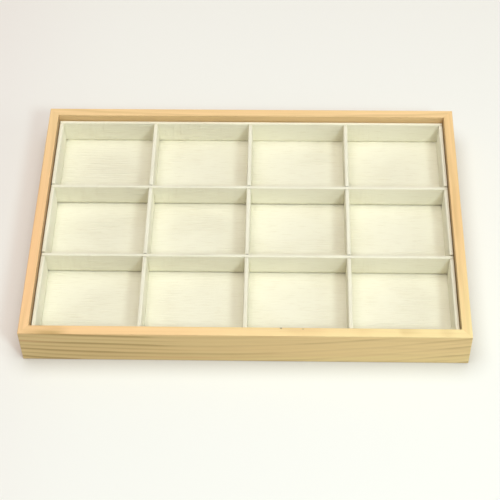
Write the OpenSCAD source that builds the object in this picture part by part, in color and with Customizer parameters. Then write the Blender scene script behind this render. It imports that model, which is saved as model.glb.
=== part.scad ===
// Open pine specimen tray: a mitred frame on a nailed base panel, with a cloth-covered
// drop-in insert. Cross-lapped dividers split the insert into four columns and three rows.
// Millimetres, +Z up. The origin is the middle of the underside; the front rail faces -Y.

/* [Case] */
// Outside width of the case, left to right
case_w = 350; // [240:1:450]
// Outside depth of the case, front to back
case_d = 240; // [180:1:320]
// Height of the rails
case_h = 35; // [28:0.5:60]
// Thickness of a rail
rail_t = 8; // [6.5:0.5:14]
// Radius that eases the long edges and the outer corners of the rails
ease_r = 0.7; // [0.3:0.1:1.5]

/* [Base panel] */
// Thickness of the plywood base panel
base_t = 3; // [2:0.5:5]
// Height of the panel's underside above the surface that the rails stand on
base_recess = 0.5; // [0.2:0.1:1.5]
// Width of the rebate that the panel sits in, across the rail
rebate_w = 4; // [3.5:0.1:5]
// Gap between the panel's edge and the side of the rebate
rebate_gap = 0.3; // [0.1:0.1:0.5]

/* [Brads] */
// Diameter of a brad's shank
brad_d = 1.2; // [0.9:0.1:1.4]
// Diameter of a brad's head
brad_head_d = 2.4; // [1.8:0.1:2.8]
// Thickness of a brad's head
brad_head_t = 0.6; // [0.4:0.1:0.8]
// Length of a brad under its head
brad_len = 12; // [8:0.5:16]
// Length of a brad's point
brad_point = 1.5; // [0.8:0.1:2.5]
// Gap all round a brad in its hole
brad_gap = 0.05; // [0.03:0.01:0.1]
// Distance from a case corner to the middle of the nearest brad
brad_inset = 24; // [16:1:40]

/* [Insert boards] */
// Thickness of the floor board
floor_board_t = 3; // [2:0.5:5]
// Thickness of the board inside a wall lining
lining_board_t = 2; // [1.5:0.1:3]
// Thickness of the board inside a divider
divider_board_t = 2; // [1.5:0.1:3]
// Thickness of the cloth with its glue
cloth_t = 0.5; // [0.3:0.1:0.8]

/* [Insert fit] */
// Gap between the insert and each rail
insert_gap = 0.7; // [0.3:0.1:1.5]
// Depth of the lining's rim below the top of the rails
rim_drop = 6.3; // [2:0.1:10]
// Depth of the dividers' tops below the lining's rim
divider_drop = 0.4; // [0:0.1:3]
// Gap on each side of a divider in the slot that it crosses
lap_gap = 0.2; // [0.1:0.05:0.5]
// Gap between a side lining's end and the long divider next to it
strip_gap = 0.5; // [0.3:0.1:1]
// Gap between a short divider's end and the lining that it points at
divider_end_gap = 0.3; // [0.2:0.1:0.8]
// Height of a long divider's foot above the floor cloth
foot_gap = 0.4; // [0.2:0.1:1]

/* [Hidden] */

$fn = 48;
// Cuts run this far past the faces that they open
cut = 1;
// Segments in a quarter turn of an eased edge
ease_steps = 6;
// Brads along a long side and along a short side
brads_long = 5;
brads_short = 3;
// Compartments from left to right and from front to back
columns = 4;
rows = 3;

pine = [0.97, 0.84, 0.62];
plywood = [0.88, 0.78, 0.6];
linen = [0.99, 0.96, 0.87];
greyboard = [0.66, 0.64, 0.6];
steel = [0.72, 0.73, 0.75];

case_in_w = case_w - 2 * rail_t;
case_in_d = case_d - 2 * rail_t;

base_top = base_recess + base_t;
base_w = case_in_w + 2 * (rebate_w - rebate_gap);
base_d = case_in_d + 2 * (rebate_w - rebate_gap);

// The line of brads runs along the middle of the rebate
brad_line_x = case_in_w / 2 + rebate_w / 2;
brad_line_y = case_in_d / 2 + rebate_w / 2;
brad_span_x = case_w / 2 - brad_inset;
brad_span_y = case_d / 2 - brad_inset;

insert_w = case_in_w - 2 * insert_gap;
insert_d = case_in_d - 2 * insert_gap;
floor_top = base_top + floor_board_t + cloth_t;
rim_z = case_h - rim_drop;
divider_z = rim_z - divider_drop;
lap_z = (floor_top + divider_z) / 2;

lining_t = lining_board_t + 2 * cloth_t;
divider_t = divider_board_t + 2 * cloth_t;
lining_h = rim_z - floor_top;
lap_w = divider_t + 2 * lap_gap;

room_w = insert_w - 2 * lining_t;
room_d = insert_d - 2 * lining_t;
cell_w = (room_w - (columns - 1) * divider_t) / columns;
cell_d = (room_d - (rows - 1) * divider_t) / rows;
pitch_x = cell_w + divider_t;
pitch_y = cell_d + divider_t;

// Middles of the short dividers, left to right, and of the long ones, front to back
short_xs = [for (i = [1 : columns - 1]) (i - columns / 2) * pitch_x];
long_ys = [for (j = [1 : rows - 1]) (j - rows / 2) * pitch_y];

short_len = room_d - 2 * divider_end_gap;
short_h = divider_z - floor_top;
long_foot = floor_top + foot_gap;
long_h = divider_z - long_foot;

// A side lining at the back or front ends on the back or front lining and on a long divider
strip_long_end = long_ys[rows - 2] + divider_t / 2 + strip_gap;
end_strip_len = room_d / 2 - strip_long_end;
end_strip_y = (room_d / 2 + strip_long_end) / 2;
middle_strip_len = 2 * (long_ys[rows - 2] - divider_t / 2 - strip_gap);
lining_x = (insert_w - lining_t) / 2;
lining_y = (insert_d - lining_t) / 2;

// Points of an arc about a centre, from one angle to another
function arc(centre, r, from, to) = [
  for (k = [0 : ease_steps])
    let (a = from + (to - from) * k / ease_steps)
    centre + r * [cos(a), sin(a)]
];

// Section of a rail: outer face at 0, inner face at rail_t, rebate at the foot
rail_section = concat(
  arc([ease_r, ease_r], ease_r, 180, 270),
  [
    [rail_t - rebate_w, 0],
    [rail_t - rebate_w, base_top],
    [rail_t, base_top]
  ],
  arc([rail_t - ease_r, case_h - ease_r], ease_r, 0, 90),
  arc([ease_r, case_h - ease_r], ease_r, 90, 180)
);

// Plan of a mitred rail whose outer face lies on the X axis, with eased outer corners
function rail_plan(len) = concat(
  arc([ease_r - len / 2, ease_r], ease_r, 225, 270),
  arc([len / 2 - ease_r, ease_r], ease_r, 270, 315),
  [
    [len / 2 - rail_t, rail_t],
    [rail_t - len / 2, rail_t]
  ]
);

module mitred_rail(len) {
  intersection() {
    translate([-len / 2, 0, 0])
      rotate([90, 0, 90])
        linear_extrude(len)
          polygon(rail_section);
    linear_extrude(case_h)
      polygon(rail_plan(len));
  }
}

// Places its children at every brad along the front and back
module at_long_side_brads(side) {
  for (i = [0 : brads_long - 1])
    translate([brad_span_x * (2 * i / (brads_long - 1) - 1), side * brad_line_y, base_recess])
      children();
}

// Places its children at every brad along the left and right
module at_short_side_brads(side) {
  for (i = [0 : brads_short - 1])
    translate([side * brad_line_x, brad_span_y * (2 * i / (brads_short - 1) - 1), base_recess])
      children();
}

module brad() {
  cylinder(d = brad_head_d, h = brad_head_t);
  translate([0, 0, brad_head_t])
    cylinder(d = brad_d, h = brad_len - brad_point);
  translate([0, 0, brad_head_t + brad_len - brad_point])
    cylinder(d1 = brad_d, d2 = brad_d / 4, h = brad_point);
}

// Hole that a brad stands in, with its counterbore at the underside
module brad_hole() {
  translate([0, 0, -cut])
    cylinder(d = brad_head_d + 2 * brad_gap, h = cut + brad_head_t);
  cylinder(d = brad_d + 2 * brad_gap, h = brad_head_t + brad_len + brad_gap);
}

module front_or_back_rail(side) {
  color(pine)
    difference() {
      rotate([0, 0, side < 0 ? 0 : 180])
        translate([0, -case_d / 2, 0])
          mitred_rail(case_w);
      at_long_side_brads(side) brad_hole();
    }
}

module left_or_right_rail(side) {
  color(pine)
    difference() {
      rotate([0, 0, side < 0 ? -90 : 90])
        translate([0, -case_w / 2, 0])
          mitred_rail(case_d);
      at_short_side_brads(side) brad_hole();
    }
}

module base_panel() {
  color(plywood)
    difference() {
      translate([-base_w / 2, -base_d / 2, base_recess])
        cube([base_w, base_d, base_t]);
      for (side = [-1, 1]) {
        at_long_side_brads(side) brad_hole();
        at_short_side_brads(side) brad_hole();
      }
    }
}

module base_brads() {
  color(steel)
    for (side = [-1, 1]) {
      at_long_side_brads(side) brad();
      at_short_side_brads(side) brad();
    }
}

// Board inside a covered piece whose outside is len by t by h, standing on its foot
module core(len, t, h) {
  translate([-len / 2 + cloth_t, -t / 2 + cloth_t, 0])
    cube([len - 2 * cloth_t, t - 2 * cloth_t, h - cloth_t]);
}

// Cloth over the top, sides and ends of the same piece, open at the foot
module skin(len, t, h) {
  difference() {
    translate([-len / 2, -t / 2, 0])
      cube([len, t, h]);
    translate([0, 0, -cut])
      core(len, t, h + cut);
  }
}

module floor_board() {
  color(greyboard)
    translate([0, 0, base_top])
      core(insert_w, insert_d, floor_board_t + cloth_t);
}

module floor_cover() {
  color(linen)
    translate([0, 0, base_top])
      skin(insert_w, insert_d, floor_board_t + cloth_t);
}

// Place of the back lining (side 1) or the front lining (side -1)
module at_end_lining(side) {
  translate([0, side * lining_y, floor_top])
    children();
}

module end_lining_board(side) {
  color(greyboard)
    at_end_lining(side) core(insert_w, lining_t, lining_h);
}

module end_lining_cover(side) {
  color(linen)
    at_end_lining(side) skin(insert_w, lining_t, lining_h);
}

// Place of a side lining: side is -1 for left and 1 for right, row is -1, 0 or 1 from the front
module at_side_lining(side, row) {
  translate([side * lining_x, row * end_strip_y, floor_top])
    rotate([0, 0, 90])
      children();
}

function strip_len(row) = row == 0 ? middle_strip_len : end_strip_len;

module side_lining_board(side, row) {
  color(greyboard)
    at_side_lining(side, row) core(strip_len(row), lining_t, lining_h);
}

module side_lining_cover(side, row) {
  color(linen)
    at_side_lining(side, row) skin(strip_len(row), lining_t, lining_h);
}

// Slots in the upper half of a short divider, one for each long divider
module short_slots(x) {
  for (y = long_ys)
    translate([x - divider_t / 2 - cut, y - lap_w / 2, lap_z])
      cube([divider_t + 2 * cut, lap_w, divider_z - lap_z + cut]);
}

module short_divider_board(i) {
  color(greyboard)
    difference() {
      translate([short_xs[i], 0, floor_top])
        rotate([0, 0, 90])
          core(short_len, divider_t, short_h);
      short_slots(short_xs[i]);
    }
}

module short_divider_cover(i) {
  color(linen)
    difference() {
      translate([short_xs[i], 0, floor_top])
        rotate([0, 0, 90])
          skin(short_len, divider_t, short_h);
      short_slots(short_xs[i]);
    }
}

// Slots in the lower half of a long divider, one for each short divider
module long_slots(y) {
  for (x = short_xs)
    translate([x - lap_w / 2, y - divider_t / 2 - cut, long_foot - cut])
      cube([lap_w, divider_t + 2 * cut, lap_z - long_foot + cut]);
}

module long_divider_board(j) {
  color(greyboard)
    difference() {
      translate([0, long_ys[j], long_foot])
        core(insert_w, divider_t, long_h);
      long_slots(long_ys[j]);
    }
}

module long_divider_cover(j) {
  color(linen)
    difference() {
      translate([0, long_ys[j], long_foot])
        skin(insert_w, divider_t, long_h);
      long_slots(long_ys[j]);
    }
}

front_or_back_rail(-1);  // front_rail
front_or_back_rail(1);  // back_rail
left_or_right_rail(-1);  // left_rail
left_or_right_rail(1);  // right_rail
base_panel();
base_brads();
floor_board();
floor_cover();
end_lining_board(1);  // back_lining_board
end_lining_cover(1);  // back_lining_cover
end_lining_board(-1);  // front_lining_board
end_lining_cover(-1);  // front_lining_cover
side_lining_board(-1, 1);  // left_lining_rear_board
side_lining_cover(-1, 1);  // left_lining_rear_cover
side_lining_board(-1, 0);  // left_lining_middle_board
side_lining_cover(-1, 0);  // left_lining_middle_cover
side_lining_board(-1, -1);  // left_lining_front_board
side_lining_cover(-1, -1);  // left_lining_front_cover
side_lining_board(1, 1);  // right_lining_rear_board
side_lining_cover(1, 1);  // right_lining_rear_cover
side_lining_board(1, 0);  // right_lining_middle_board
side_lining_cover(1, 0);  // right_lining_middle_cover
side_lining_board(1, -1);  // right_lining_front_board
side_lining_cover(1, -1);  // right_lining_front_cover
short_divider_board(0);  // left_divider_board
short_divider_cover(0);  // left_divider_cover
short_divider_board(1);  // centre_divider_board
short_divider_cover(1);  // centre_divider_cover
short_divider_board(2);  // right_divider_board
short_divider_cover(2);  // right_divider_cover
long_divider_board(1);  // rear_long_divider_board
long_divider_cover(1);  // rear_long_divider_cover
long_divider_board(0);  // front_long_divider_board
long_divider_cover(0);  // front_long_divider_cover
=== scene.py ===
import math

import bpy
from mathutils import Matrix, Vector, noise


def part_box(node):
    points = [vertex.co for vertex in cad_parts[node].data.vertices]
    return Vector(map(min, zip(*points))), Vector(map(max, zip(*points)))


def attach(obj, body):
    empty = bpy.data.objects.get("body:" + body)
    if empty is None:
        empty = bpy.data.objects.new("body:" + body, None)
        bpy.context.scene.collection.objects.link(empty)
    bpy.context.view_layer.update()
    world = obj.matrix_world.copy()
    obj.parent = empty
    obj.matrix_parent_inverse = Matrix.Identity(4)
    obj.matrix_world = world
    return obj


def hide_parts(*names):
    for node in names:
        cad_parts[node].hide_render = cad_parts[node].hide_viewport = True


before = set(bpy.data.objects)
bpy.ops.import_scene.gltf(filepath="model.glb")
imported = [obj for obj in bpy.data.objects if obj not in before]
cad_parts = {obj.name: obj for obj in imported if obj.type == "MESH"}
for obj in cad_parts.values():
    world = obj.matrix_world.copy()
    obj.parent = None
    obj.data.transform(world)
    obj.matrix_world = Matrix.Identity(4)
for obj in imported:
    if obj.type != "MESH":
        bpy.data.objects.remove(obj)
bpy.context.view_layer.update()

MM = 0.001

# The photograph's view of the tray, with angles in degrees
PHOTO_PX = 500
VIEW_AZIMUTH = 2.187
VIEW_ELEVATION = 51.579
VIEW_ROLL = -1.242
VIEW_DISTANCE = 1137.4 * MM
VIEW_FOCAL_PX = 1416.3
VIEW_TARGET = Vector((2.7, -36.4, 35.1)) * MM
SENSOR_MM = 36

# The floor paper lies just under the rails, so that the two don't share a plane
PAPER_REACH = 6.0
PAPER_DROP = 0.2 * MM
# It darkens this much, this near to what stands on it
CONTACT_REACH = 20 * MM
CONTACT_SHADE = 0.62

# Cloth over board
CLOTH_T = 0.45 * MM
# The fold over a wall's top, in this many steps on each side, and the fold at a wall's ends
FOLD_R = 0.65 * MM
FOLD_STEPS = 4
END_R = 0.4 * MM
# The glued cloth's unevenness, either way, and its broad and fine waves in a metre
WALL_WAVE = 0.14 * MM
FLOOR_WAVE = 0.1 * MM
BROAD_WAVES = 38
FINE_WAVES = 150
# Over this height above a wall's foot, its cloth comes to lie flat
CALM_FOOT = 4 * MM
# Mesh spacing
WALL_STEP = 2.2 * MM
FLOOR_STEP = 2.4 * MM
# Dividers: width of the notch at a crossing, and a long divider's clearance over the floor
NOTCH_W = 3.1 * MM
LONG_FOOT = 0.4 * MM
# A side lining strip's cloth stops this far from each end of the strip
STRIP_PLAY = 0.3 * MM

# Undyed linen, and the colour of its thicker, darker threads, which also gives the painted shade in
# its creases
CREAM = (0.90, 0.885, 0.73, 1)
SLUB_AND_SHADE_CREAM = (0.72, 0.67, 0.50, 1)

# Small dark marks on the top of the front rail: place in metres, radius, depth
PIN_KNOTS = (
    ((0.0282, -0.1127, 0.035), 1.1 * MM, 0.85),
    ((0.0451, -0.1134, 0.035), 1.0 * MM, 0.4),
)
KNOT_COLOUR = (0.16, 0.11, 0.07, 1)


# Shader building

class Sheet:
    """Short words for placing nodes and joining them in one node tree."""

    def __init__(self, tree):
        self.tree = tree
        tree.nodes.clear()

    def node(self, kind, **settings):
        made = self.tree.nodes.new(kind)
        for key, value in settings.items():
            setattr(made, key, value)
        return made

    def link(self, source, target):
        self.tree.links.new(source, target)

    def put(self, value, socket):
        if isinstance(value, bpy.types.NodeSocket):
            self.link(value, socket)
        else:
            socket.default_value = value

    def math(self, operation, a, b=0.0, clamp=False):
        made = self.node("ShaderNodeMath", operation=operation, use_clamp=clamp)
        self.put(a, made.inputs[0])
        self.put(b, made.inputs[1])
        return made.outputs[0]

    def plus(self, a, b, clamp=False):
        return self.math("ADD", a, b, clamp)

    def minus(self, a, b):
        return self.math("SUBTRACT", a, b)

    def times(self, a, b):
        return self.math("MULTIPLY", a, b)

    def vector(self, operation, a, b=(0, 0, 0), output="Vector"):
        made = self.node("ShaderNodeVectorMath", operation=operation)
        self.put(a, made.inputs[0])
        self.put(b, made.inputs[1])
        return made.outputs[output]

    def parts(self, vector):
        """The vector's X, Y and Z."""
        made = self.node("ShaderNodeSeparateXYZ")
        self.link(vector, made.inputs[0])
        return made.outputs

    def noise(self, vector, waves, detail=2.0, rough=0.5):
        """Noise with this many waves in a metre along X, Y and Z."""
        spread = self.node("ShaderNodeMapping")
        self.link(vector, spread.inputs["Vector"])
        spread.inputs["Scale"].default_value = waves
        made = self.node("ShaderNodeTexNoise")
        self.link(spread.outputs[0], made.inputs["Vector"])
        made.inputs["Scale"].default_value = 1.0
        made.inputs["Detail"].default_value = detail
        made.inputs["Roughness"].default_value = rough
        return made.outputs["Fac"]

    def remap(self, value, low, high, to_low=0.0, to_high=1.0, smooth=True):
        made = self.node("ShaderNodeMapRange")
        made.interpolation_type = "SMOOTHSTEP" if smooth else "LINEAR"
        self.link(value, made.inputs["Value"])
        self.put(low, made.inputs["From Min"])
        self.put(high, made.inputs["From Max"])
        self.put(to_low, made.inputs["To Min"])
        self.put(to_high, made.inputs["To Max"])
        return made.outputs[0]

    def mix(self, share, a, b, blend="MIX"):
        made = self.node("ShaderNodeMix", data_type="RGBA", blend_type=blend)
        self.put(share, made.inputs["Factor"])
        self.put(a, made.inputs["A"])
        self.put(b, made.inputs["B"])
        return made.outputs["Result"]

    def tinted(self, colour, tint):
        return self.mix(1.0, colour, tint, "MULTIPLY")

    def seen_directly(self):
        """1 for what the camera sees, straight or through a gloss or glass, and 0 for light."""
        rays = self.node("ShaderNodeLightPath").outputs
        straight = self.math("MAXIMUM", rays["Is Camera Ray"], rays["Is Glossy Ray"])
        return self.math("MAXIMUM", straight, rays["Is Transmission Ray"])


def new_group(name, inputs, outputs):
    """A shader node group with these sockets, each given as name: (kind, default)."""
    tree = bpy.data.node_groups.new(name, "ShaderNodeTree")
    for label, (kind, default) in inputs.items():
        socket = tree.interface.new_socket(label, in_out="INPUT", socket_type="NodeSocket" + kind)
        if default is not None:
            socket.default_value = default
    for label, kind in outputs.items():
        tree.interface.new_socket(label, in_out="OUTPUT", socket_type="NodeSocket" + kind)
    sheet = Sheet(tree)
    return sheet, sheet.node("NodeGroupInput").outputs, sheet.node("NodeGroupOutput").inputs


def new_material(name):
    material = bpy.data.materials.new(name)
    material.use_nodes = True
    sheet = Sheet(material.node_tree)
    shader = sheet.node("ShaderNodeBsdfPrincipled")
    out = sheet.node("ShaderNodeOutputMaterial")
    sheet.link(shader.outputs[0], out.inputs["Surface"])
    return material, sheet, shader


def place_group(sheet, tree, **values):
    """Places the group, with an underscore in a value's name for a space in the socket's."""
    made = sheet.node("ShaderNodeGroup")
    made.node_tree = tree
    for label, value in values.items():
        sheet.put(value, made.inputs[label.replace("_", " ")])
    return made.outputs


def add_bump(sheet, shader, height, distance, strength):
    bump = sheet.node("ShaderNodeBump")
    bump.inputs["Distance"].default_value = distance
    bump.inputs["Strength"].default_value = strength
    sheet.link(height, bump.inputs["Height"])
    sheet.link(bump.outputs[0], shader.inputs["Normal"])


# Wood

def wood_grain_group():
    """Growth rings about a far pith line, with the grain along X. Vector is in metres."""
    sheet, given, out = new_group(
        "wood_grain",
        {
            "Vector": ("Vector", None),
            "Seed": ("Vector", None),
            "Pith": ("Vector", (0.0, 0.05, -0.03)),
            "Ring Width": ("Float", 10 * MM),
            "Bow": ("Float", 0.0),
            "Bow Centre": ("Float", 0.0),
            "Wander": ("Float", 3 * MM),
            "Light": ("Color", (0.8, 0.6, 0.4, 1)),
            "Dark": ("Color", (0.6, 0.4, 0.2, 1)),
            "Ring Strength": ("Float", 0.5),
            "Fade": ("Float", 0.0),
            "Warm": ("Color", (0.8, 0.5, 0.3, 1)),
            "Warm Amount": ("Float", 0.3),
        },
        {"Color": "Color", "Height": "Float", "Ring": "Float"},
    )
    place = given["Vector"]
    seeded = sheet.vector("ADD", place, given["Seed"])
    along = sheet.parts(place)["X"]
    # Rings lie about the pith, bow along the board and wander a little
    from_pith = sheet.vector("SUBTRACT", place, given["Pith"])
    radius = sheet.vector("LENGTH", sheet.vector("MULTIPLY", from_pith, (0, 1, 1)), output="Value")
    from_centre = sheet.minus(along, given["Bow Centre"])
    bow = sheet.times(sheet.times(from_centre, from_centre), given["Bow"])
    long_wave = sheet.noise(seeded, (5.5, 14, 14), 1.0)
    short_wave = sheet.noise(seeded, (22, 60, 60))
    wander = sheet.times(sheet.minus(long_wave, 0.5), given["Wander"])
    ripple = sheet.times(sheet.minus(short_wave, 0.5), 2.2 * MM)
    bent = sheet.plus(sheet.plus(radius, wander), ripple)
    phase = sheet.math("FRACT", sheet.math("DIVIDE", sheet.minus(bent, bow), given["Ring Width"]))
    # Latewood darkens slowly and ends sooner, with a weaker line between
    rise = sheet.remap(phase, 0.62, 0.9)
    fall = sheet.remap(phase, 0.9, 1.0, 1.0, 0.0)
    weak_rise = sheet.remap(phase, 0.2, 0.36)
    weak_fall = sheet.remap(phase, 0.36, 0.5, 0.4, 0.0)
    ring = sheet.math("MAXIMUM", sheet.times(rise, fall), sheet.times(weak_rise, weak_fall))
    # A ring shows more in some stretches than in others
    patchy = sheet.remap(sheet.noise(seeded, (9, 70, 70)), 0.36, 0.62, 0.25, 1.0)
    faded = sheet.times(sheet.remap(along, -0.08, 0.12), given["Fade"])
    ring = sheet.times(sheet.times(ring, patchy), sheet.minus(1.0, faded))
    band = sheet.noise(seeded, (7, 280, 280))
    fine = sheet.noise(seeded, (30, 1100, 1100), 3.0, 0.6)
    streak = sheet.plus(
        sheet.times(sheet.remap(fine, 0.42, 0.75), 0.1),
        sheet.times(sheet.remap(band, 0.4, 0.68), 0.14),
    )
    depth = sheet.plus(sheet.times(ring, given["Ring Strength"]), streak, clamp=True)
    # Some stretches and some lines are redder than others
    tone = sheet.noise(seeded, (3.0, 25, 25))
    warm = sheet.times(sheet.remap(tone, 0.42, 0.68), given["Warm Amount"])
    base = sheet.mix(warm, given["Light"], given["Warm"])
    red = sheet.remap(sheet.noise(seeded, (6, 90, 90), 1.0), 0.52, 0.66, 0.0, 0.55)
    dark = sheet.mix(red, given["Dark"], given["Warm"])
    sheet.link(sheet.mix(depth, base, dark), out["Color"])
    fibre = sheet.noise(seeded, (120, 3500, 3500))
    sheet.link(sheet.plus(sheet.times(fibre, 0.5), sheet.times(ring, 0.6)), out["Height"])
    sheet.link(ring, out["Ring"])
    return sheet.tree


def pine_material(name, grain, turn, wood_values, light=None, painted_inner_shade=None, knots=()):
    """Bare wood. turn is the grain's direction from X, in degrees.

    light may give the pale wood's colour by place. inside is (direction, share) for painted shade:
    the faces that look that way keep this share of their colour, darkened as if in shade.
    """
    material, sheet, shader = new_material(name)
    where = sheet.node("ShaderNodeTexCoord").outputs["Object"]
    along = sheet.node("ShaderNodeMapping")
    sheet.link(where, along.inputs["Vector"])
    along.inputs["Rotation"].default_value = (0, 0, math.radians(-turn))
    values = dict(wood_values)
    if light:
        values["Light"] = light(sheet, where)
    wood = place_group(sheet, grain, Vector=along.outputs[0], **values)
    colour = wood["Color"]
    for spot, radius, depth in knots:
        away = sheet.vector("DISTANCE", where, spot, output="Value")
        mark = sheet.remap(away, radius * 0.4, radius, depth, 0.0)
        colour = sheet.mix(mark, colour, KNOT_COLOUR)
    # Painted shade: the faces that look this way, such as a rail's inner faces, are darkened as if in
    # shade
    if painted_inner_shade:
        direction, share = painted_inner_shade
        normal = sheet.node("ShaderNodeTexCoord").outputs["Normal"]
        facing = sheet.vector("DOT_PRODUCT", normal, direction, output="Value")
        colour = sheet.tinted(colour, sheet.remap(facing, 0.5, 0.9, 1.0, share))
    sheet.link(colour, shader.inputs["Base Color"])
    sheet.link(sheet.remap(wood["Ring"], 0.0, 1.0, 0.62, 0.5), shader.inputs["Roughness"])
    shader.inputs["Specular IOR Level"].default_value = 0.35
    add_bump(sheet, shader, wood["Height"], 0.06 * MM, 0.8)
    return material


def front_rail_light(sheet, where):
    """The front rail's pale colour, darker and redder at the left: peach to straw along its top,
    olive to tan along its face.
    """
    place = sheet.parts(where)
    along = sheet.remap(place["X"], -0.12, 0.13)
    on_top = sheet.remap(place["Z"], 0.0332, 0.035)
    face = sheet.mix(along, (0.85, 0.66, 0.32, 1), (0.99, 0.80, 0.40, 1))
    top = sheet.mix(along, (0.92, 0.62, 0.31, 1), (0.90, 0.78, 0.40, 1))
    return sheet.mix(on_top, face, top)


def right_rail_light(sheet, where):
    """The right rail's pale wood: straw at the front corner to orange at the back."""
    back = sheet.remap(sheet.parts(where)["Y"], -0.13, 0.02)
    return sheet.mix(back, (0.92, 0.76, 0.38, 1), (0.90, 0.62, 0.30, 1))


# Cloth, board, brads and paper

def weave_group():
    """Plain-weave cloth with slubs. Flat is the place on the unrolled cloth, in metres."""
    sheet, given, out = new_group(
        "plain_weave",
        {
            "Flat": ("Vector", None),
            "Thread": ("Float", 0.6 * MM),
            "Color": ("Color", (0.9, 0.87, 0.75, 1)),
            "Slub Color": ("Color", (0.8, 0.77, 0.65, 1)),
            "Slub Amount": ("Float", 0.5),
            "Crease Amount": ("Float", 0.0),
        },
        {"Color": "Color", "Height": "Float"},
    )
    flat = given["Flat"]
    # Weft and warp go over and under each other by turns
    ways = sheet.parts(flat)
    turns = [sheet.math("DIVIDE", ways[way], given["Thread"]) for way in ("X", "Y")]
    waves = [sheet.math("SINE", sheet.times(turn, math.pi)) for turn in turns]
    hills = [sheet.math("ABSOLUTE", wave) for wave in waves]
    weave = sheet.node("ShaderNodeMix", data_type="FLOAT")
    sheet.link(sheet.remap(sheet.times(waves[0], waves[1]), -0.15, 0.15), weave.inputs["Factor"])
    sheet.link(hills[0], weave.inputs["A"])
    sheet.link(hills[1], weave.inputs["B"])
    # Thick places in single threads, longer along the weft, and thin ones that show the board
    weft = sheet.noise(flat, (75, 1250, 1), 3.0, 0.65)
    warp = sheet.noise(flat, (1100, 60, 1), 2.0, 0.6)
    warp_slub = sheet.times(sheet.remap(warp, 0.58, 0.8), 0.45)
    slub = sheet.math("MAXIMUM", sheet.remap(weft, 0.52, 0.76), warp_slub)
    thin = sheet.times(sheet.remap(weft, 0.5, 0.28), sheet.times(given["Slub Amount"], 1.6))
    blotch = sheet.remap(sheet.noise(flat, (18, 22, 1)), 0.35, 0.7, 0.0, 0.12)
    # Loose weft makes streaks that come in patches
    loose = sheet.remap(sheet.noise(flat, (34, 620, 1), 1.5), 0.5, 0.66)
    patch = sheet.remap(sheet.noise(flat, (20, 26, 1), 1.0), 0.45, 0.62, 0.1, 1.0)
    streak = sheet.times(loose, patch)
    # Small creases across the walls, where the cloth was pulled over
    pull = sheet.remap(sheet.noise(flat, (240, 42, 1), 1.0), 0.5, 0.75)
    pulled = sheet.remap(sheet.noise(flat, (17, 12, 1), 1.0), 0.5, 0.62)
    crease_and_shade = sheet.times(sheet.times(pull, pulled), given["Crease Amount"])
    between = sheet.times(sheet.minus(patch, streak), sheet.times(given["Slub Amount"], 0.5))
    # The creases also darken the colour a little: painted shade in them
    marks = sheet.plus(sheet.plus(thin, between), sheet.plus(blotch, sheet.times(crease_and_shade, 0.1)))
    colour = sheet.mix(sheet.math("MINIMUM", marks, 1.0), given["Color"], given["Slub Color"])
    sheet.link(colour, out["Color"])
    threads = sheet.plus(sheet.times(weave.outputs["Result"], 0.4), sheet.times(slub, 0.6))
    ridges = sheet.plus(sheet.times(streak, 1.5), sheet.times(crease_and_shade, 1.3))
    sheet.link(sheet.plus(threads, ridges), out["Height"])
    return sheet.tree


def linen_material(name, weave, slub, crease_and_shade):
    material, sheet, shader = new_material(name)
    flat = sheet.node("ShaderNodeAttribute", attribute_name="flat_place")
    cloth = place_group(
        sheet, weave, Flat=flat.outputs["Vector"], Color=CREAM, Slub_Color=SLUB_AND_SHADE_CREAM,
        Slub_Amount=slub, Crease_Amount=crease_and_shade,
    )
    sheet.link(cloth["Color"], shader.inputs["Base Color"])
    shader.inputs["Roughness"].default_value = 0.88
    shader.inputs["Specular IOR Level"].default_value = 0.2
    shader.inputs["Sheen Weight"].default_value = 0.12
    shader.inputs["Sheen Roughness"].default_value = 0.6
    add_bump(sheet, shader, cloth["Height"], 0.2 * MM, 0.8)
    return material


def greyboard_material():
    material, sheet, shader = new_material("greyboard")
    where = sheet.node("ShaderNodeTexCoord").outputs["Object"]
    flecks = sheet.remap(sheet.noise(where, (900, 900, 2600), 4.0, 0.7), 0.35, 0.7)
    cloud = sheet.noise(where, (60, 60, 60), 3.0)
    shade = sheet.mix(flecks, (0.34, 0.32, 0.28, 1), (0.47, 0.45, 0.4, 1))
    colour = sheet.mix(sheet.times(cloud, 0.3), shade, (0.42, 0.37, 0.3, 1))
    sheet.link(colour, shader.inputs["Base Color"])
    shader.inputs["Roughness"].default_value = 0.92
    add_bump(sheet, shader, flecks, 0.08 * MM, 0.6)
    return material


def brad_material():
    material, sheet, shader = new_material("brad_steel")
    where = sheet.node("ShaderNodeTexCoord").outputs["Object"]
    dull = sheet.noise(where, (1800, 1800, 1800), 3.0, 0.6)
    colour = sheet.mix(dull, (0.5, 0.5, 0.5, 1), (0.36, 0.34, 0.32, 1))
    sheet.link(colour, shader.inputs["Base Color"])
    shader.inputs["Metallic"].default_value = 0.9
    sheet.link(sheet.remap(dull, 0.3, 0.7, 0.35, 0.6), shader.inputs["Roughness"])
    add_bump(sheet, shader, dull, 0.03 * MM, 0.5)
    return material


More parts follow.
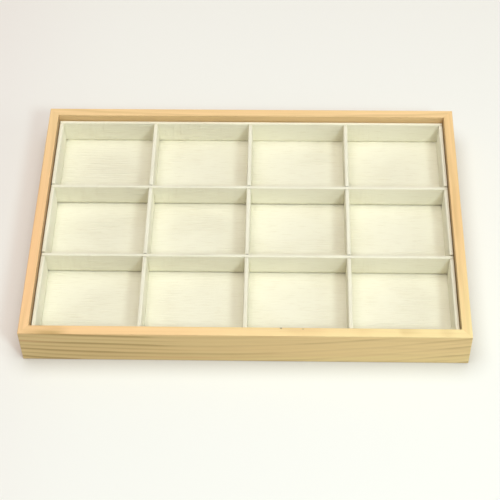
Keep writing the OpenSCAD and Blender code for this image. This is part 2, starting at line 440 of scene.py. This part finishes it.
def paper_material(name, bounced, seen, glow):
    """Paper that the camera sees as pale, with a soft shadow, while less of its light falls back."""
    material, sheet, shader = new_material(name)
    pale = sheet.seen_directly()
    contact = sheet.node("ShaderNodeAmbientOcclusion", samples=8)
    contact.inputs["Distance"].default_value = CONTACT_REACH
    shade = sheet.remap(contact.outputs["AO"], 0.2, 1.0, CONTACT_SHADE, 1.0, smooth=False)
    # Painted shade: the paper at the left is a little darker and redder, where the light falls off
    across = sheet.parts(sheet.node("ShaderNodeTexCoord").outputs["Object"])["X"]
    left_painted_shade = sheet.mix(sheet.remap(across, -0.36, -0.1), (0.94, 0.89, 0.90, 1), (1, 1, 1, 1))
    shade = sheet.tinted(left_painted_shade, shade)
    sheet.link(sheet.mix(pale, bounced, sheet.tinted(seen, shade)), shader.inputs["Base Color"])
    sheet.link(sheet.tinted(glow, shade), shader.inputs["Emission Color"])
    sheet.link(pale, shader.inputs["Emission Strength"])
    shader.inputs["Roughness"].default_value = 0.9
    shader.inputs["Specular IOR Level"].default_value = 0.1
    return material


# Camera, light and floor

def make_camera():
    az, el, roll = (math.radians(a) for a in (VIEW_AZIMUTH, VIEW_ELEVATION, VIEW_ROLL))
    back = Vector((math.sin(az) * math.cos(el), -math.cos(az) * math.cos(el), math.sin(el)))
    level = Vector((0, 0, 1)).cross(back).normalized()
    upright = back.cross(level)
    right = math.cos(roll) * level + math.sin(roll) * upright
    up = math.cos(roll) * upright - math.sin(roll) * level
    camera = bpy.data.objects.new("camera", bpy.data.cameras.new("camera"))
    camera.data.sensor_width = SENSOR_MM
    camera.data.lens = VIEW_FOCAL_PX / PHOTO_PX * SENSOR_MM
    camera.data.clip_start = 0.01
    camera.matrix_world = Matrix((
        (right.x, up.x, back.x, 0),
        (right.y, up.y, back.y, 0),
        (right.z, up.z, back.z, 0),
        (0, 0, 0, 1),
    ))
    camera.location = VIEW_TARGET + back * VIEW_DISTANCE
    bpy.context.scene.collection.objects.link(camera)
    bpy.context.scene.camera = camera


def make_lamp(name, place, size, watts, colour):
    """A round soft lamp that points at the middle of the tray."""
    lamp = bpy.data.lights.new(name, "AREA")
    lamp.shape = "DISK"
    lamp.size = size
    lamp.energy = watts
    lamp.color = colour
    holder = bpy.data.objects.new(name, lamp)
    holder.location = place
    holder.rotation_euler = (-Vector(place)).to_track_quat("-Z", "Y").to_euler()
    bpy.context.scene.collection.objects.link(holder)


def light_the_tray():
    """Each lamp's place and size in metres, its power in watts and its colour."""
    make_lamp("key", (0.62, -0.98, 1.17), 0.34, 9.3, (0.91, 1.0, 0.98))
    make_lamp("overhead", (-0.12, 0.0, 1.45), 1.2, 11.0, (1.0, 0.965, 0.93))
    make_lamp("side", (1.5, -0.5, 0.75), 1.0, 5.2, (1.0, 0.985, 0.94))


def make_world():
    world = bpy.data.worlds.new("studio")
    bpy.context.scene.world = world
    world.use_nodes = True
    sheet = Sheet(world.node_tree)
    # Light from the left is a little redder
    towards = sheet.parts(sheet.node("ShaderNodeTexCoord").outputs["Generated"])["X"]
    tint = sheet.mix(sheet.remap(towards, -0.7, 0.5), (1.0, 0.86, 0.80, 1), (1.0, 0.97, 0.92, 1))
    ambient = sheet.node("ShaderNodeBackground")
    sheet.link(tint, ambient.inputs["Color"])
    ambient.inputs["Strength"].default_value = 0.31
    seen = sheet.node("ShaderNodeBackground")
    seen.inputs["Color"].default_value = (0.98, 0.96, 0.93, 1)
    mix = sheet.node("ShaderNodeMixShader")
    sheet.link(sheet.seen_directly(), mix.inputs[0])
    sheet.link(ambient.outputs[0], mix.inputs[1])
    sheet.link(seen.outputs[0], mix.inputs[2])
    sheet.link(mix.outputs[0], sheet.node("ShaderNodeOutputWorld").inputs["Surface"])


def lay_the_floor_paper():
    mesh = bpy.data.meshes.new("floor")
    ways = ((-1, -1), (1, -1), (1, 1), (-1, 1))
    corners = [(x * PAPER_REACH, y * PAPER_REACH, -PAPER_DROP) for x, y in ways]
    mesh.from_pydata(corners, [], [(0, 1, 2, 3)])
    mesh.materials.append(paper_material(
        "floor_paper", (0.50, 0.48, 0.45, 1), (0.59, 0.715, 0.725, 1), (0.32, 0.20, 0.15, 1)))
    floor = bpy.data.objects.new("floor", mesh)
    bpy.context.scene.collection.objects.link(floor)


# Cloth over the boards

def cloth_wave(place, seed):
    """How far the glued cloth stands off its board here, from -1 to 1."""
    broad = place * BROAD_WAVES + Vector((seed * 7.3, seed * 3.1, seed * 5.7))
    fine = place * FINE_WAVES + Vector((seed * 2.9, seed * 8.3, seed * 4.1))
    return 0.7 * noise.noise(broad) + 0.3 * noise.noise(fine)


def cloth_piece(name, points, faces, flat_places, material):
    """The mesh of the cloth's outside, thickened towards its board."""
    mesh = bpy.data.meshes.new(name)
    mesh.from_pydata(points, [], faces)
    layer = mesh.attributes.new("flat_place", "FLOAT_VECTOR", "POINT")
    layer.data.foreach_set("vector", [value for place in flat_places for value in place])
    mesh.materials.append(material)
    mesh.polygons.foreach_set("use_smooth", [True] * len(mesh.polygons))
    mesh.update()
    piece = bpy.data.objects.new(name, mesh)
    bpy.context.scene.collection.objects.link(piece)
    shell = piece.modifiers.new("cloth", "SOLIDIFY")
    shell.thickness = CLOTH_T
    shell.offset = -1
    shell.thickness_clamp = 1.0
    return piece


def wrap_profile(thickness, height, foot):
    """Points of the cloth's outside from the back foot over the top to the front foot.

    Each is (across, up, outward across, outward up).
    """
    half = thickness / 2
    bends = [math.radians(90 * k / FOLD_STEPS) for k in range(FOLD_STEPS + 1)]
    rows = round(height / WALL_STEP)
    rise = height - FOLD_R
    back = [(half, foot + (rise - foot) * k / rows, 1, 0) for k in range(rows)]
    back_fold = [
        (half - FOLD_R + FOLD_R * math.cos(a), rise + FOLD_R * math.sin(a), math.cos(a), math.sin(a))
        for a in bends
    ]
    front_fold = [
        (FOLD_R - half - FOLD_R * math.sin(a), rise + FOLD_R * math.cos(a), -math.sin(a), math.cos(a))
        for a in bends
    ]
    front = [
        (-half, foot + (rise - foot) * (rows - k) / rows, -1, 0)
        for k in range(1, rows + 1)
    ]
    return back + back_fold + front_fold + front


def distances(profile):
    """How far each point of the profile is from its start, round the cloth."""
    around = [0.0]
    for a, b in zip(profile, profile[1:]):
        around.append(around[-1] + math.hypot(b[0] - a[0], b[1] - a[1]))
    return around


def stations(length, marks):
    """Places along a piece, about one step apart, with one at each mark."""
    stops = sorted({-length / 2, length / 2, *marks})
    places = []
    for start, end in zip(stops, stops[1:]):
        count = max(1, round((end - start) / WALL_STEP))
        places += [start + (end - start) * k / count for k in range(count)]
    return places + [stops[-1]]


def end_inset(from_end):
    """How much a wall's cloth narrows this near its end, where it is folded round."""
    if from_end >= END_R:
        return 0.0
    return END_R - math.sqrt(max(0.0, END_R ** 2 - (END_R - from_end) ** 2))


def wall_faces(places, profile, notched, lengthwise):
    """Faces between the profiles at all the places, apart from those that notched says are cut."""
    around = len(profile)
    faces = []
    for i, (start, end) in enumerate(zip(places, places[1:])):
        for k in range(around - 1):
            if notched((start + end) / 2, (profile[k][1] + profile[k + 1][1]) / 2):
                continue
            a = i * around + k
            b = a + around
            faces.append((a, b, b + 1, a + 1) if lengthwise else (a, a + 1, b + 1, b))
    return faces


def end_faces(count, around, lengthwise):
    """Faces that close both ends, each between a point at the back and the one facing it."""
    faces = []
    for first, far_end in ((0, False), ((count - 1) * around, True)):
        last = first + around - 1
        for k in range(around // 2 - 1):
            quad = (first + k, first + k + 1, last - k - 1, last - k)
            faces.append(tuple(reversed(quad)) if far_end == lengthwise else quad)
    return faces


def wrapped_wall(node, body, seed, material, crossings=(), notch="below", foot=0.0, short=0.0):
    """The cloth over one board: folded over its top, down both sides and across its ends.

    crossings are the places of the dividers that it crosses, where it is notched from below or above.
    foot is how far the cloth ends above the board's foot, and short how far before each end.
    """
    low, high = (Vector(c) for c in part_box(node))
    size = high - low
    centre = (low + high) / 2
    lengthwise = size.x > size.y
    length, thickness, height = max(size.x, size.y), min(size.x, size.y), size.z
    middle = centre.x if lengthwise else centre.y
    reach = length - 2 * short
    cuts = [(s - middle - NOTCH_W / 2, s - middle + NOTCH_W / 2) for s in crossings]
    cut_edges = [edge for cut in cuts for edge in cut]
    end_bends = [side * (reach / 2 - share * END_R) for share in (0.1, 0.4, 1.0) for side in (-1, 1)]
    places = stations(reach, cut_edges + end_bends)
    profile = wrap_profile(thickness, height, foot)
    around = distances(profile)
    points, flat_places = [], []
    for s in places:
        inset = end_inset(reach / 2 - abs(s))
        for (across, up, out_across, out_up), u in zip(profile, around):
            calm = min(1, up / CALM_FOOT)
            wave = cloth_wave(Vector((s, across * 3, up)), seed) * WALL_WAVE * calm - WALL_WAVE
            narrowed = across - math.copysign(min(inset, abs(across)), across)
            off = narrowed + out_across * wave
            z = low.z + up - inset * out_up + out_up * wave
            along = middle + s
            points.append((along, centre.y - off, z) if lengthwise else (centre.x + off, along, z))
            flat_places.append((along, u, 0.0))

    def notched(s, up):
        if not any(a < s < b for a, b in cuts):
            return False
        return up < height / 2 if notch == "below" else up > height / 2

    faces = wall_faces(places, profile, notched, lengthwise)
    faces += end_faces(len(places), len(profile), lengthwise)
    piece = cloth_piece(node + "_cloth", points, faces, flat_places, material)
    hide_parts(node)
    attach(piece, body)


def floor_cloth(material):
    """The cloth over the floor board, turned down over its edges."""
    low, high = (Vector(c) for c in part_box("floor_cover"))
    size = high - low
    turn = high.z - low.z
    nx, ny = round(size.x / FLOOR_STEP), round(size.y / FLOOR_STEP)
    # The first and last places come twice, on the board and at the foot of its edge
    xs = [0.0] + [size.x * i / nx for i in range(nx + 1)] + [size.x]
    ys = [0.0] + [size.y * j / ny for j in range(ny + 1)] + [size.y]
    points, flat_places = [], []
    for j, y in enumerate(ys):
        for i, x in enumerate(xs):
            at_foot = i in (0, nx + 2) or j in (0, ny + 2)
            dip = (cloth_wave(Vector((x, y, 0)) * 0.8, 40) - 1) * FLOOR_WAVE
            points.append((low.x + x, low.y + y, high.z - turn if at_foot else high.z + dip))
            flat_places.append((low.x + x, low.y + y, 0.0))
    wide = nx + 3
    faces = []
    for j in range(ny + 2):
        for i in range(nx + 2):
            if i in (0, nx + 1) and j in (0, ny + 1):
                continue
            a = j * wide + i
            faces.append((a, a + 1, a + 1 + wide, a + wide))
    piece = cloth_piece("floor_cover_cloth", points, faces, flat_places, material)
    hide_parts("floor_cover")
    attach(piece, "insert")


def middle_of(node):
    low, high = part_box(node)
    return (Vector(low) + Vector(high)) / 2


def cover_the_boards():
    weave = weave_group()
    floor_cloth(linen_material("floor_linen", weave, 0.24, 0.0))
    linen = linen_material("wall_linen", weave, 0.2, 1.0)
    wrapped_wall("back_lining_cover", "insert", 1, linen)
    wrapped_wall("front_lining_cover", "insert", 2, linen)
    for i, side in enumerate(("left", "right")):
        for j, row in enumerate(("rear", "middle", "front")):
            strip = f"{side}_lining_{row}_cover"
            wrapped_wall(strip, "insert", 3 + 3 * i + j, linen, short=STRIP_PLAY)
    short_names = ("left_divider", "centre_divider", "right_divider")
    long_names = ("rear_long_divider", "front_long_divider")
    short_xs = [middle_of(name + "_board").x for name in short_names]
    long_ys = [middle_of(name + "_board").y for name in long_names]
    for i, name in enumerate(short_names):
        wrapped_wall(name + "_cover", "divider_grid", 10 + i, linen, long_ys, "above")
    for j, name in enumerate(long_names):
        wrapped_wall(name + "_cover", name, 20 + j, linen, short_xs, "below", foot=LONG_FOOT)


# Finishes on the CAD pieces

def finish_node(node, material):
    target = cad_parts[node]
    target.data.materials.clear()
    target.data.materials.append(material)


def finish_the_case():
    grain = wood_grain_group()
    pine = {
        "Light": (0.925, 0.655, 0.335, 1),
        "Dark": (0.50, 0.33, 0.12, 1),
        "Warm": (0.91, 0.54, 0.27, 1),
        "Wander": 3 * MM,
    }
    # Each rail is a board of its own: grain direction, wood, and what differs by place, with painted
    # shade on the inner faces of the back, left and right rails
    finish_node("front_rail", pine_material("front_rail_pine", grain, 0, {
        **pine, "Seed": (0.0, 0.0, 0.0), "Pith": (0.0, -0.116, -0.3028), "Ring_Width": 10.8 * MM,
        "Bow": 0.45, "Bow_Centre": -0.06, "Wander": 4.5 * MM, "Ring_Strength": 0.8, "Fade": 0.4,
        "Warm_Amount": 0.2,
    }, light=front_rail_light, knots=PIN_KNOTS))
    finish_node("back_rail", pine_material("back_rail_pine", grain, 0, {
        **pine, "Seed": (1.7, 0.0, 0.0), "Pith": (0.0, -0.104, -0.19), "Ring_Width": 9.5 * MM,
        "Bow": 0.15, "Bow_Centre": 0.02, "Ring_Strength": 0.3, "Warm_Amount": 0.7,
    }, painted_inner_shade=((0, -1, 0), 0.84)))
    finish_node("left_rail", pine_material("left_rail_pine", grain, 90, {
        **pine, "Seed": (3.1, 0.0, 0.0), "Pith": (0.0, 0.421, -0.2), "Ring_Width": 9.5 * MM,
        "Bow": -0.2, "Ring_Strength": 0.3, "Warm_Amount": 0.8,
    }, painted_inner_shade=((1, 0, 0), 0.55)))
    finish_node("right_rail", pine_material("right_rail_pine", grain, 90, {
        **pine, "Seed": (4.9, 0.0, 0.0), "Pith": (0.0, -0.321, -0.25), "Ring_Width": 9.5 * MM,
        "Bow": 0.1, "Bow_Centre": -0.05, "Ring_Strength": 0.3, "Warm_Amount": 0.3,
    }, light=right_rail_light, painted_inner_shade=((-1, 0, 0), 0.72)))
    finish_node("base_panel", pine_material("base_plywood", grain, 0, {
        "Light": (0.74, 0.53, 0.31, 1), "Dark": (0.42, 0.27, 0.13, 1), "Warm": (0.72, 0.45, 0.24, 1),
        "Seed": (7.7, 0.0, 0.0), "Pith": (0.0, 0.1, -0.9), "Ring_Width": 4 * MM, "Bow": 0.1,
        "Wander": 10 * MM, "Ring_Strength": 0.7, "Warm_Amount": 0.5,
    }))
    finish_node("base_brads", brad_material())


def finish_the_boards():
    board = greyboard_material()
    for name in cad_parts:
        if name.endswith("_board"):
            finish_node(name, board)


make_camera()
make_world()
light_the_tray()
lay_the_floor_paper()
finish_the_case()
finish_the_boards()
cover_the_boards()
bpy.context.scene.view_settings.view_transform = "Standard"
